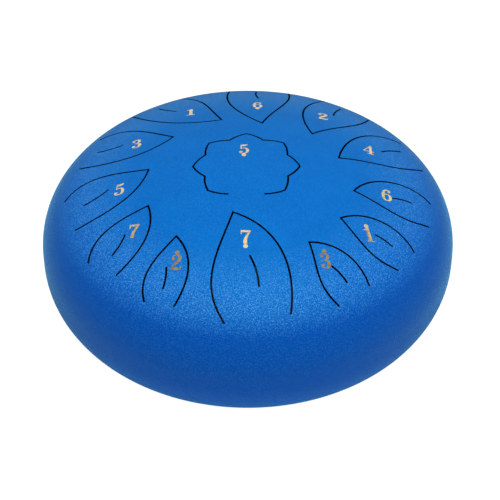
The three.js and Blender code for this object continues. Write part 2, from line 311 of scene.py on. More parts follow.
# tip: radius, direction; roots: length past the crown's edge, direction, for the left and the right;
# then the angles of both sides to their chords, and the slit: shares of the length, directions
LEAVES = {
    "low7": ((49.5, -102), ((1.5, -77), (5.5, -97)), (39, 12), (35, 38), (0.46, 0.75), (-89, -86)),
    "low6": ((55.5, 79), ((4.5, 96), (4.5, 76)), (30, 4), (29, 23), (0.7, 0.98), (85.5, 87)),
    "middle1": ((64, 107.5), ((4, 132.5), (4.5, 113.5)), (38, 3), (32, 24), (0.62, 0.93), (122, 124)),
    "middle2": ((64.5, 43), ((4.5, 63), (4.5, 45)), (31, 2), (32, 25), (0.66, 0.97), (52, 55)),
    "middle3": ((68.5, 142.5), ((1.5, 166), (4, 148.5)), (39, 8), (31, 39), (0.6, 0.9), (154, 157.5)),
    "middle4": ((67.5, 14), ((5, 29), (6.5, 14)), (36, 3), (55, 22), (0.66, 0.95), (21.5, 23)),
    "middle5": ((71, 176.5), ((1.5, 197.5), (6, 181.5)), (38, 14), (25, 49), (0.53, 0.85), (184.5, 188)),
    "middle6": ((77, -13.5), ((5.5, -3), (6, -14)), (49, 6), (57, 29), (0.56, 0.83), (-8.5, -7)),
    "middle7": ((77.5, -154), ((-1, -136), (5, -147.5)), (38, 20), (31, 44), (0.51, 0.81), (-146.5, -143)),
    "high1": ((79.5, -36), ((4.5, -27.5), (4, -37.5)), (48, 11), (48, 33), (0.54, 0.81), (-32, -31.5)),
    "high2": ((81.5, -127), ((1, -113), (4.5, -122.5)), (38, 17), (33, 40), (0.52, 0.83), (-122, -119)),
    "high3": ((82.5, -59.5), ((1, -49.5), (4, -62)), (40, 6), (39, 30), (0.5, 0.83), (-57, -55.5)),
}


def leaf_line(tip, roots, tip_angles, root_angles):
    """From the left root round the tip to the right root."""
    point = polar(tip[0] * MM, tip[1] * DEGREE)
    sides = []
    for turn, (past, direction), at_tip, at_root in zip((1, -1), roots, tip_angles, root_angles):
        root = polar(crown_edge + past * MM, direction * DEGREE)
        chord = root - point
        handle = HANDLE_SHARE * chord.length
        near_tip = point + polar(handle, course(chord) + turn * at_tip * DEGREE)
        near_root = root - polar(handle, course(chord) - turn * at_root * DEGREE)
        sides.append(cubic(point, near_tip, near_root, root))
    return [*reversed(sides[0]), *sides[1][1:]]


def slit_line(tip, shares, directions):
    reach = crown_edge - tip[0] * MM
    start, end = (
        polar(tip[0] * MM + share * reach, direction * DEGREE)
        for share, direction in zip(shares, directions)
    )
    chord = end - start
    bulge = polar(2 * SLIT_BEND_SHARE * chord.length, course(chord) + math.pi / 2)
    return quadratic(start, start.lerp(end, 0.5) + bulge, end)


leaf_lines = []
for tip, roots, tip_angles, root_angles, shares, directions in LEAVES.values():
    leaf_lines.append(leaf_line(tip, roots, tip_angles, root_angles))
    leaf_lines.append(slit_line(tip, shares, directions))
print(f"{len(LEAVES)} leaves, each with its slit, on {sum(map(len, leaf_lines))} points")

# %% [markdown]
# ## The lotus
#
# The middle tongue is a lotus seen from above: eight pointed petals, of which the one at the
# player's side isn't cut, so that the tongue hangs from it. Each petal has two edges that arch
# outwards, from a notch to the petal's tip and on to the next notch.

# %% The lotus tongue
LOTUS_TIP_RADIUS = 38 * MM
LOTUS_NOTCH_RADIUS = 31.7 * MM
LOTUS_END_RADIUS = 34 * MM
LOTUS_PETALS = 8
LOTUS_PETAL_BULGE = 0.9 * MM
LOTUS_MIDDLE = Vector((-1 * MM, 0))

lotus_line = []
petal = math.tau / LOTUS_PETALS
for number in range(1, LOTUS_PETALS):
    direction = number * petal - math.pi / 2
    tip = polar(LOTUS_TIP_RADIUS, direction)
    reach_before = LOTUS_END_RADIUS if number == 1 else LOTUS_NOTCH_RADIUS
    reach_after = LOTUS_END_RADIUS if number == LOTUS_PETALS - 1 else LOTUS_NOTCH_RADIUS
    before = polar(reach_before, direction - petal / 2)
    after = polar(reach_after, direction + petal / 2)
    for start, end in ((before, tip), (tip, after)):
        bulge = polar(2 * LOTUS_PETAL_BULGE, course(end - start) - math.pi / 2)
        edge = quadratic(start, start.lerp(end, 0.5) + bulge, end)
        lotus_line.extend(edge[1 if lotus_line else 0:])
lotus_line = [point + LOTUS_MIDDLE for point in lotus_line]
print(f"The lotus is cut along {len(lotus_line)} points")

# %% [markdown]
# ## From plate to bowl
#
# Four steps make a bowl. The plate's upper face is filled round its holes, and a copy of it, turned
# over, is the lower face. Each hole's edge is extruded from row to row: first round the lip, which
# the powder coat softens, then down the wall, then round the lower lip. The plate is pressed. Last,
# its rim is extruded ring by ring round the knuckle, down the flange, over the edge and back up the
# inside. The walls of the holes come first.

# %% The wall of a hole
LIP_STEPS = 3


def picked(geometry, kind):
    """The vertices, edges or faces among what an operator has made."""
    return [item for item in geometry if isinstance(item, kind)]


def hole_rows(outline, lip):
    """The rows of a hole's wall: an outline drawn wider by the lip, then narrow, then wide again."""
    rows = []
    for step in range(LIP_STEPS + 1):
        turn = math.pi / 2 * step / LIP_STEPS
        rows.append((outline(lip * (1 - math.sin(turn))), lip * (1 - math.cos(turn))))
    below = [(points, WALL - depth) for points, depth in reversed(rows)]
    return rows + below


def extrude_rows(mesh, rows):
    """A wall from closed row to closed row. Each vertex carries its number in the row with it."""
    station = mesh.verts.layers.int["station"]
    first, depth = rows[0]
    vertices = [mesh.verts.new((point.x, point.y, -depth)) for point in first]
    for number, vertex in enumerate(vertices):
        vertex[station] = number
    edges = [mesh.edges.new(pair) for pair in zip(vertices, vertices[1:] + vertices[:1])]
    for points, depth in rows[1:]:
        made = bmesh.ops.extrude_edge_only(mesh, edges=edges)["geom"]
        edges = picked(made, BMEdge)
        for vertex in picked(made, BMVert):
            point = points[vertex[station]]
            vertex.co = (point.x, point.y, -depth)


print(f"The wall of each hole will have {2 * LIP_STEPS + 2} rows")

# %% [markdown]
# ## The rim
#
# Towards its edge the bowl is the same all the way round, so one section is enough there: down the
# knuckle's arc and the flange, over the flange's edge with the shallow rebate that the weld will
# fill, and up again inside, one wall further in.

# %% The rim's section
# how far out the plate reaches before the rim goes on
RIM_RADIUS = 136 * MM
KNUCKLE_STEPS = 14
WELD_HEIGHT = 2 * MM
WELD_DEPTH = 1 * MM


def rim_section():
    """Radius and height of each ring, from the outer face's edge over the flange to the inner's."""
    start = math.acos((RIM_RADIUS - knuckle_middle) / KNUCKLE_RADIUS)

    def knuckle(radius):
        turns = [start * (1 - step / KNUCKLE_STEPS) for step in range(KNUCKLE_STEPS + 1)]
        return [
            (knuckle_middle + radius * math.cos(turn), FLANGE_HEIGHT + radius * math.sin(turn))
            for turn in turns
        ]

    rebate = OUTER_RADIUS - WELD_DEPTH
    shoulder = [(OUTER_RADIUS, WELD_HEIGHT / 2), (rebate, WELD_HEIGHT / 2)]
    edge = [*shoulder, (rebate, 0), (OUTER_RADIUS - WALL, 0)]
    return [*knuckle(KNUCKLE_RADIUS), *edge, *reversed(knuckle(KNUCKLE_RADIUS - WALL))]


print(f"The rim will be drawn out over {len(rim_section()) - 1} rings")

# %% [markdown]
# ## From mesh to piece
#
# Every piece ends in the same way. Its mesh already lies in place, so its object stays at the
# origin. It shades smoothly, but for the edges at which its faces meet at a real angle. A closed
# solid has no open edge, so the number of those is printed with its volume.

# %% The piece maker
SHARP_ANGLE = 40 * DEGREE


def finished(name, mesh):
    """Turns a bmesh into an object at the origin, smooth but for its real edges."""
    data = bpy.data.meshes.new(name)
    mesh.to_mesh(data)
    open_edges = sum(not edge.is_manifold for edge in mesh.edges)
    volume = mesh.calc_volume(signed=True)
    mesh.free()
    data.set_sharp_from_angle(angle=SHARP_ANGLE)
    piece = bpy.data.objects.new(name, data)
    bpy.context.scene.collection.objects.link(piece)
    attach(piece, "root")
    print(f"{name}: {len(data.polygons)} faces, {volume / MM ** 3:,.1f} mm3, {open_edges} open edges")
    return piece


print(f"Edges sharper than {SHARP_ANGLE / DEGREE:.0f} degrees will look sharp")

# %% [markdown]
# ## The bowl maker
#
# Now the steps come together. Every vertex also remembers how deep in the wall it lies, in an
# attribute that the paint reads later: the coat covers the outside well and hardly reaches into a
# narrow cut, where the paint fades to a near-black that is partly unpainted steel and partly painted
# shade. Faces that lie deeper than the coat's reach take the second of two materials, near-black in
# the same way.

# %% The bowl maker
RIM_STEPS = 240
SHEET_STEP = 3 * MM
SHEET_ROOM = 1.05 * MM
SAME_PLACE = 0.001 * MM
DEPTH_NAME = "wall_depth"
COAT_REACH = 0.05


def ring(radius, steps):
    return [polar(radius, math.tau * step / steps) for step in range(steps)]


def flat_plate(mesh, holes, between):
    """A plate with its upper face at zero, its lower face a wall below, and rounded holes."""
    walls = [hole_rows(outline, lip) for outline, lip in holes]
    edges_of_holes = [rows[0][0] for rows in walls]
    fill_sheet(mesh, [ring(RIM_RADIUS, RIM_STEPS)], edges_of_holes, between, SHEET_ROOM)
    lower = bmesh.ops.duplicate(mesh, geom=mesh.faces[:])["geom"]
    bmesh.ops.translate(mesh, verts=picked(lower, BMVert), vec=(0, 0, -WALL))
    bmesh.ops.reverse_faces(mesh, faces=picked(lower, BMFace))
    for rows in walls:
        extrude_rows(mesh, rows)


def at_upper_rim(vertex):
    return vertex.co.z == 0 and vertex.co.xy.length > RIM_RADIUS - SHEET_ROOM / 2


def draw_out_rim(mesh, rim, side, deep):
    """Extrudes the pressed plate's rim ring by ring, until it meets the lower face's edge."""
    for number, (radius, height) in enumerate(rim_section()[1:]):
        made = bmesh.ops.extrude_edge_only(mesh, edges=rim)["geom"]
        rim = picked(made, BMEdge)
        for vertex in picked(made, BMVert):
            flat = vertex.co.xy.normalized() * radius
            vertex.co = (flat.x, flat.y, SEAM_HEIGHT + side * height)
            # the coat ends where the rebate begins: from there on the faces are near-black, partly
            # unpainted steel and partly painted shade
            vertex[deep] = 0 if number <= KNUCKLE_STEPS else 1


def bowl(name, side, holes, between):
    """A pressed half with a wall, rounded holes and a rebated flange."""
    mesh = bmesh.new()
    mesh.verts.layers.int.new("station")
    deep = mesh.verts.layers.float.new(DEPTH_NAME)
    flat_plate(mesh, holes, between)
    for vertex in mesh.verts:
        vertex[deep] = min(1, -vertex.co.z / WALL)
    rim = [edge for edge in mesh.edges if edge.is_boundary and all(map(at_upper_rim, edge.verts))]
    press(mesh, side)
    draw_out_rim(mesh, rim, side, deep)
    bmesh.ops.remove_doubles(mesh, verts=mesh.verts, dist=SAME_PLACE)
    bmesh.ops.recalc_face_normals(mesh, faces=mesh.faces)
    for face in mesh.faces:
        face.material_index = int(min(vertex[deep] for vertex in face.verts) > COAT_REACH)
    return finished(name, mesh)


print(f"Each bowl's rim will have {RIM_STEPS} points on each of its rings")

# %% [markdown]
# ## The upper bowl
#
# The cuts are the upper bowl's holes, a hair narrower than the laser made them, since the paint lies
# on their edges. Two rows of points beside each cut lead the triangles away from it, and the
# honeycomb fills the rest.

# %% The upper bowl
LIP = 0.12 * MM
ROWS_BESIDE_A_CUT = (1.9 * MM, 3.3 * MM)


def cut_outline(line):
    """A function that draws the outline of a painted cut, as much wider as it is told."""
    return lambda wider: band(line, KERF / 2 - PAINT + wider)


def with_honeycomb(points):
    everywhere = [*points, *honeycomb(RIM_RADIUS, SHEET_STEP)]
    return [point for point in everywhere if point.length < RIM_RADIUS - SHEET_ROOM]


kerf_lines = [lotus_line, *leaf_lines]
kerf_rows = [p for away in ROWS_BESIDE_A_CUT for line in kerf_lines for p in band(line, away)]
kerf_holes = [(cut_outline(line), LIP) for line in kerf_lines]
upper_bowl = bowl("upper_bowl", 1, kerf_holes, with_honeycomb(kerf_rows))
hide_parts("top_shell")
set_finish(upper_bowl, "powder_coat")

# %% [markdown]
# ## The lower bowl
#
# The lower bowl comes from the same press tool, so the same maker builds it, turned upside down. Its
# holes are the big sound hole in the middle, whose edge is rolled rounder than a laser cut because
# fingers touch it, and four small ones for the feet's screws.

# %% The lower bowl
SOUND_HOLE_RADIUS = 45 * MM
SOUND_HOLE_LIP = 0.8 * MM
SOUND_HOLE_STEPS = 160
SCREW_RADIUS = 2 * MM
BOLT_HOLE_RADIUS = SCREW_RADIUS + FIT
BOLT_HOLE_STEPS = 24
ROWS_ROUND_A_BORE = (1.5 * MM, 3.2 * MM)
FOOT_COUNT = 4
FOOT_CIRCLE_RADIUS = 70 * MM
FIRST_FOOT_DIRECTION = 45 * DEGREE


def around(middle, radius, steps):
    return [middle + point for point in ring(radius, steps)]


def bore_outline(middle, radius, steps):
    """A function that draws the outline of a round hole, as much wider as it is told."""
    return lambda wider: around(middle, radius + wider, steps)


foot_directions = [FIRST_FOOT_DIRECTION + math.tau * number / FOOT_COUNT for number in range(FOOT_COUNT)]
bores = [(Vector((0, 0)), SOUND_HOLE_RADIUS, SOUND_HOLE_STEPS, SOUND_HOLE_LIP)]
for direction in foot_directions:
    bores.append((polar(FOOT_CIRCLE_RADIUS, direction), BOLT_HOLE_RADIUS, BOLT_HOLE_STEPS, LIP))
bore_holes = [(bore_outline(middle, radius, steps), lip) for middle, radius, steps, lip in bores]
bore_rows = [
    point
    for middle, radius, steps, lip in bores
    for away in ROWS_ROUND_A_BORE
    for point in around(middle, radius + lip + away, steps)
]
lower_bowl = bowl("lower_bowl", -1, bore_holes, with_honeycomb(bore_rows))
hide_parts("bottom_shell")
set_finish(lower_bowl, "powder_coat")

# %% [markdown]
# ## The weld
#
# The bowls are welded all round in a shallow rebate, the weld is ground flush and the coat runs over
# it. A small rectangle spun round the drum's axis is enough: its outer face continues both flanges,
# and its corners stay sharp, so that the light doesn't show where one piece ends.

# %% The lathe and the weld
LATHE_STEPS = 48


def lathe(profile, steps, closed):
    """A profile of radius and height points, spun all the way round the Z axis."""
    mesh = bmesh.new()
    vertices = [mesh.verts.new((radius, 0, height)) for radius, height in profile]
    pairs = list(zip(vertices, vertices[1:]))
    if closed:
        pairs.append((vertices[-1], vertices[0]))
    edges = [mesh.edges.new(pair) for pair in pairs]
    bmesh.ops.spin(
        mesh, geom=[*vertices, *edges], cent=(0, 0, 0), axis=(0, 0, 1), dvec=(0, 0, 0),
        angle=math.tau, steps=steps, use_merge=True, use_duplicate=False,
    )
    bmesh.ops.remove_doubles(mesh, verts=mesh.verts, dist=SAME_PLACE)
    bmesh.ops.recalc_face_normals(mesh, faces=mesh.faces)
    return mesh


weld_half = WELD_HEIGHT / 2
weld_inner = OUTER_RADIUS - WELD_DEPTH + FIT
weld_section = [
    (weld_inner, SEAM_HEIGHT - weld_half),
    (OUTER_RADIUS, SEAM_HEIGHT - weld_half),
    (OUTER_RADIUS, SEAM_HEIGHT + weld_half),
    (weld_inner, SEAM_HEIGHT + weld_half),
]
weld = finished("weld_band", lathe(weld_section, RIM_STEPS, closed=True))
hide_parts("seam_weld")
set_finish(weld, "powder_coat")

# %% [markdown]
# ## Square to a sloping bowl
#
# Each foot sits square to the sloping bowl, so its axis leans, and with it lean the screw, the nut
# and the washers that hold it. All of these are made upright, with zero height where their axis
# goes through the bowl's outside, and one matrix then leans them into place.

# %% The seat of a foot
FOOT_TILT = math.asin(FOOT_CIRCLE_RADIUS / CROWN_RADIUS)
seat_height = SEAM_HEIGHT - crown_middle - math.sqrt(CROWN_RADIUS ** 2 - FOOT_CIRCLE_RADIUS ** 2)


def seat(direction):
    """The place of a foot: its own Z axis points square through the shell, into the drum."""
    return (
        Matrix.Rotation(direction, 4, "Z")
        @ Matrix.Translation((FOOT_CIRCLE_RADIUS, 0, seat_height))
        @ Matrix.Rotation(-FOOT_TILT, 4, "Y")
    )


def curved_away(distance):
    """How far the bowl has left its tangent plane, at a distance from where the two touch."""
    return distance ** 2 / (2 * CROWN_RADIUS)


def soften(mesh, width, segments, sharper_than):
    """Rounds every edge at which two faces meet more sharply than an angle."""
    edges = [e for e in mesh.edges if e.is_manifold and e.calc_face_angle() > sharper_than]
    bmesh.ops.bevel(
        mesh, geom=edges, affect="EDGES", offset=width, offset_type="OFFSET", segments=segments,
        profile=0.5, clamp_overlap=True, material=-1,
    )


print(f"Each foot leans by {FOOT_TILT / DEGREE:.1f} degrees")

# %% [markdown]
# ## Rubber feet
#
# The foot leans, but its sole is level with the table. So its section is spun upright and leaned
# into place, a plane at the table's height cuts the sole level, and the cut is closed between its
# two rims. Rubber comes out of its mould with soft edges, so every corner gets a small round bevel.

# %% The feet
FOOT_TOP_RADIUS = 11 * MM
FOOT_SOLE_RADIUS = 9 * MM
FOOT_COLLAR = 2.5 * MM
FOOT_WEB = 4 * MM
FOOT_SOFTNESS = 0.55 * MM
FOOT_SOFT_STEPS = 4
FOOT_CORNER_ANGLE = 25 * DEGREE
GAP_AT_BORE = 0.1 * MM
GAP_AT_COLLAR = 0.05 * MM
WASHER_RADIUS = 4.8 * MM
WASHER_THICKNESS = 0.8 * MM
RECESS_RADIUS = WASHER_RADIUS + FIT
web_bottom = -FIT - FOOT_WEB


def rubber_foot(direction):
    # far enough down for every side of the leaned foot to pass through the table
    deep = -seat_height - 2 * FOOT_TOP_RADIUS * math.tan(FOOT_TILT)
    section = [
        (BOLT_HOLE_RADIUS, -GAP_AT_BORE),
        (BOLT_HOLE_RADIUS, web_bottom),
        (RECESS_RADIUS, web_bottom),
        (RECESS_RADIUS, deep),
        (FOOT_SOLE_RADIUS, deep),
        (FOOT_TOP_RADIUS, -FIT - FOOT_COLLAR),
        (FOOT_TOP_RADIUS, curved_away(FOOT_TOP_RADIUS) - GAP_AT_COLLAR),
    ]
    mesh = lathe(section, LATHE_STEPS, closed=True)
    mesh.transform(seat(direction))
    everything = [*mesh.verts, *mesh.edges, *mesh.faces]
    cut = bmesh.ops.bisect_plane(
        mesh, geom=everything, plane_co=(0, 0, 0), plane_no=(0, 0, -1), clear_outer=True)
    bmesh.ops.bridge_loops(mesh, edges=picked(cut["geom_cut"], BMEdge))
    bmesh.ops.recalc_face_normals(mesh, faces=mesh.faces)
    soften(mesh, FOOT_SOFTNESS, FOOT_SOFT_STEPS, FOOT_CORNER_ANGLE)
    return mesh


for number, direction in enumerate(foot_directions, 1):
    foot = finished(f"foot_{number}", rubber_foot(direction))
    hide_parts(f"rubber_foot_{number}")
    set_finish(foot, "rubber")

# %% [markdown]
# ## What holds the feet
#
# A zinc plated pan head screw comes up through a washer in the foot's recess, the foot and the bowl,
# into a second washer and a nut inside. The heights of this stack follow from each other, upwards
# and downwards from the bowl. A washer is lathe work with its edges broken.

# %% The stack and its washers
SCREW_HEAD_RADIUS = 3.8 * MM
SCREW_HEAD_HEIGHT = 2.4 * MM
SCREW_TAIL = 1.5 * MM
NUT_HEIGHT = 3.2 * MM
WASHER_SOFTNESS = 0.12 * MM

washer_bottom = web_bottom - FIT - WASHER_THICKNESS
head_top = washer_bottom - FIT
head_bottom = head_top - SCREW_HEAD_HEIGHT
inner_washer_bottom = WALL + FIT + curved_away(WASHER_RADIUS)
nut_bottom = inner_washer_bottom + WASHER_THICKNESS + FIT
nut_top = nut_bottom + NUT_HEIGHT
screw_end = nut_top + SCREW_TAIL


def washer(low):
    inner, outer, high = BOLT_HOLE_RADIUS, WASHER_RADIUS, low + WASHER_THICKNESS
    mesh = lathe([(inner, low), (outer, low), (outer, high), (inner, high)], LATHE_STEPS, closed=True)
    soften(mesh, WASHER_SOFTNESS, 2, SHARP_ANGLE)
    return mesh


print(f"From its head to its end a screw is {(screw_end - head_bottom) / MM:.1f} mm long")

# %% [markdown]
# ## A recess for the driver
#
# A tapered cross carves the recess for the driver into the screw's head. This cut and the nut use
# the Boolean modifier, which is safe on such small plain solids.

# %% Booleans and the driver's cross
CROSS_LENGTH = 4.4 * MM
CROSS_WIDTH = 1 * MM
CROSS_DEPTH = 1.6 * MM
CROSS_TAPER = 0.55
CROSS_START = 0.2 * MM


def combined(mesh, tool, operation):
    """The result of one boolean between two bmeshes, which are both used up."""
    objects = []
    for part in (mesh, tool):
        data = bpy.data.meshes.new("part")
        part.to_mesh(data)
        part.free()
        objects.append(bpy.data.objects.new("part", data))
        bpy.context.scene.collection.objects.link(objects[-1])
    modifier = objects[0].modifiers.new("boolean", "BOOLEAN")
    modifier.operation = operation
    modifier.solver = "EXACT"
    modifier.object = objects[1]
    bpy.context.view_layer.update()
    result = bmesh.new()
    result.from_object(objects[0], bpy.context.evaluated_depsgraph_get())
    for thing in objects:
        bpy.data.meshes.remove(thing.data)
    return result


def cross_cutter():
    """A cross-shaped pin that narrows as it goes into the head."""
    mesh = bmesh.new()
    arm, half = CROSS_LENGTH / 2, CROSS_WIDTH / 2
    corner = [Vector((arm, -half)), Vector((arm, half)), Vector((half, half))]
    outline = []
    for quarter in range(4):
        outline.extend(Matrix.Rotation(quarter * math.pi / 2, 2) @ point for point in corner)
    start = head_bottom - CROSS_START
    face = mesh.faces.new([mesh.verts.new((point.x, point.y, start)) for point in outline])
    far = picked(bmesh.ops.extrude_face_region(mesh, geom=[face])["geom"], BMVert)
    bmesh.ops.scale(mesh, verts=far, vec=(CROSS_TAPER, CROSS_TAPER, 1))
    bmesh.ops.translate(mesh, verts=far, vec=(0, 0, CROSS_DEPTH + CROSS_START))
    bmesh.ops.recalc_face_normals(mesh, faces=mesh.faces)
    return mesh


print(f"The recess goes {CROSS_DEPTH / MM:.1f} mm into a head {SCREW_HEAD_HEIGHT / MM:.1f} mm high")

# %% [markdown]
# ## The screw
#
# The shank and the domed head are turned on the lathe, and the cross is cut out of the head. The
# thread is a small triangle wound up the shank, by a spin that climbs as it turns.

# %% The screw
THREAD_PITCH = 0.7 * MM
THREAD_DEPTH = 0.3 * MM
SHANK_RADIUS = SCREW_RADIUS - THREAD_DEPTH
THREAD_BITE = 0.05 * MM
THREAD_HALF_WIDTH = 0.45 * THREAD_PITCH
THREAD_STEPS_A_TURN = 18
TAIL_CHAMFER = 0.3 * MM
HEAD_SIDE = 0.5 * MM
# radius and height of the dome over the head's lowest point, in millimetres
HEAD_DOME = [(0, 0), (1.6, 0.04), (2.6, 0.22), (3.3, 0.65), (3.7, 1.3)]


def add_thread(mesh, low, high):
    """One triangular ridge wound round the shank, closed at both its ends."""
    root = SHANK_RADIUS - THREAD_BITE
    section = [(root, low - THREAD_HALF_WIDTH), (SCREW_RADIUS, low), (root, low + THREAD_HALF_WIDTH)]
    face = mesh.faces.new([mesh.verts.new((radius, 0, height)) for radius, height in section])
    turns = (high - low) / THREAD_PITCH
    steps = round(turns * THREAD_STEPS_A_TURN)
    bmesh.ops.spin(
        mesh, geom=[face], cent=(0, 0, 0), axis=(0, 0, 1), dvec=(0, 0, (high - low) / steps),
        angle=turns * math.tau, steps=steps, use_merge=False, use_duplicate=False,
    )
    bmesh.ops.recalc_face_normals(mesh, faces=mesh.faces)


def screw():
    section = [(radius * MM, head_bottom + height * MM) for radius, height in HEAD_DOME]
    section += [
        (SCREW_HEAD_RADIUS, head_top - HEAD_SIDE),
        (SCREW_HEAD_RADIUS, head_top),
        (SCREW_RADIUS, head_top),
        (SCREW_RADIUS, 0),
        (SHANK_RADIUS, THREAD_DEPTH),
        (SHANK_RADIUS, screw_end - TAIL_CHAMFER),
        (SHANK_RADIUS - TAIL_CHAMFER, screw_end),
        (0, screw_end),
    ]
    mesh = combined(lathe(section, LATHE_STEPS, closed=False), cross_cutter(), "DIFFERENCE")
    add_thread(mesh, THREAD_PITCH, screw_end - THREAD_PITCH)
    return mesh


print(f"The thread winds {(screw_end - 2 * THREAD_PITCH) / THREAD_PITCH:.1f} times round the shank")

# %% [markdown]
# ## The nut
#
# A nut is the part that a hexagonal bar and a turned blank with chamfered rims have in common, which
# is also how its typical arched edges come about. Then each foot gets its four fastenings.

# %% The nut, and everything in place
NUT_ACROSS_FLATS = 7 * MM
NUT_CHAMFER = 0.42 * MM
NUT_RIM = 0.1 * MM


def nut():
    flat = NUT_ACROSS_FLATS / 2
    corner = flat / math.cos(math.pi / 6)
    hexagon = bmesh.new()
    bmesh.ops.create_cone(
        hexagon, cap_ends=True, segments=6, radius1=corner, radius2=corner, depth=2 * NUT_HEIGHT,
        matrix=Matrix.Translation((0, 0, nut_bottom + NUT_HEIGHT / 2)),
    )
    thread = SCREW_RADIUS - THREAD_DEPTH / 2
    blank = lathe([
        (thread, nut_bottom + NUT_CHAMFER),
        (BOLT_HOLE_RADIUS, nut_bottom),
        (flat - NUT_RIM, nut_bottom),
        (corner + NUT_RIM, nut_bottom + NUT_CHAMFER),
        (corner + NUT_RIM, nut_top - NUT_CHAMFER),
        (flat - NUT_RIM, nut_top),
        (BOLT_HOLE_RADIUS, nut_top),
        (thread, nut_top - NUT_CHAMFER),
    ], LATHE_STEPS, closed=True)
    return combined(blank, hexagon, "INTERSECT")


fastenings = {
    "foot_washer": lambda: washer(washer_bottom),
    "foot_screw": screw,
    "inner_washer": lambda: washer(inner_washer_bottom),
    "foot_nut": nut,
}
for number, direction in enumerate(foot_directions, 1):
    for node, make in fastenings.items():
        mesh = make()
        mesh.transform(seat(direction))
        part = finished(f"{node}_of_foot_{number}", mesh)
        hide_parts(f"{node}_{number}")
        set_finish(part, "zinc_steel")

# %% [markdown]
# ## Drawing the numerals
#
# The notes are named by plain numbers, in a book face with fat and thin strokes and round ends. A
# font file isn't needed for seven figures: each is a few pen strokes, and a stroke is a Bezier curve
# whose width swells and thins. Round blobs, bars and small corners complete the pen's marks.

# %% The pen
STROKE_STEPS = 9
DISC_STEPS = 20


def stroke(start, near_start, near_end, end, widths):
    """A pen stroke along a Bezier curve: half widths at its start, middle and end."""
    handles = map(Vector, (start, near_start, near_end, end))
    line = [Vector(point[:2]) for point in interpolate_bezier(*handles, STROKE_STEPS)]
    first, middle, last = widths
    swell = 4 * middle - first - last
    sides = ([], [])
    for i, point in enumerate(line):
        share = i / (STROKE_STEPS - 1)
        half = first * (1 - share) ** 2 + last * share ** 2 + swell * share * (1 - share)
        ahead = line[min(i + 1, STROKE_STEPS - 1)] - line[max(i - 1, 0)]
        across = ahead.orthogonal().normalized() * half
        sides[0].append(point + across)
        sides[1].append(point - across)
    return [*sides[1], *reversed(sides[0])]


def disc(x, y, radius):
    return around(Vector((x, y)), radius, DISC_STEPS)


def shape(*corners):
    return [Vector(corner) for corner in corners]


def bar(left, low, right, high):
    return shape((left, low), (right, low), (right, high), (left, high))


print(f"A pen stroke has {len(stroke((0, 0), (0, 1), (1, 1), (1, 0), (0.1, 0.2, 0.1)))} points")

# %% [markdown]
# ## Seven figures
#
# The strokes of a figure simply overlap, because the sheet filler merges them. One unit is the height
# of a figure, with x from 0 to about 0.6 and the base line at 0.

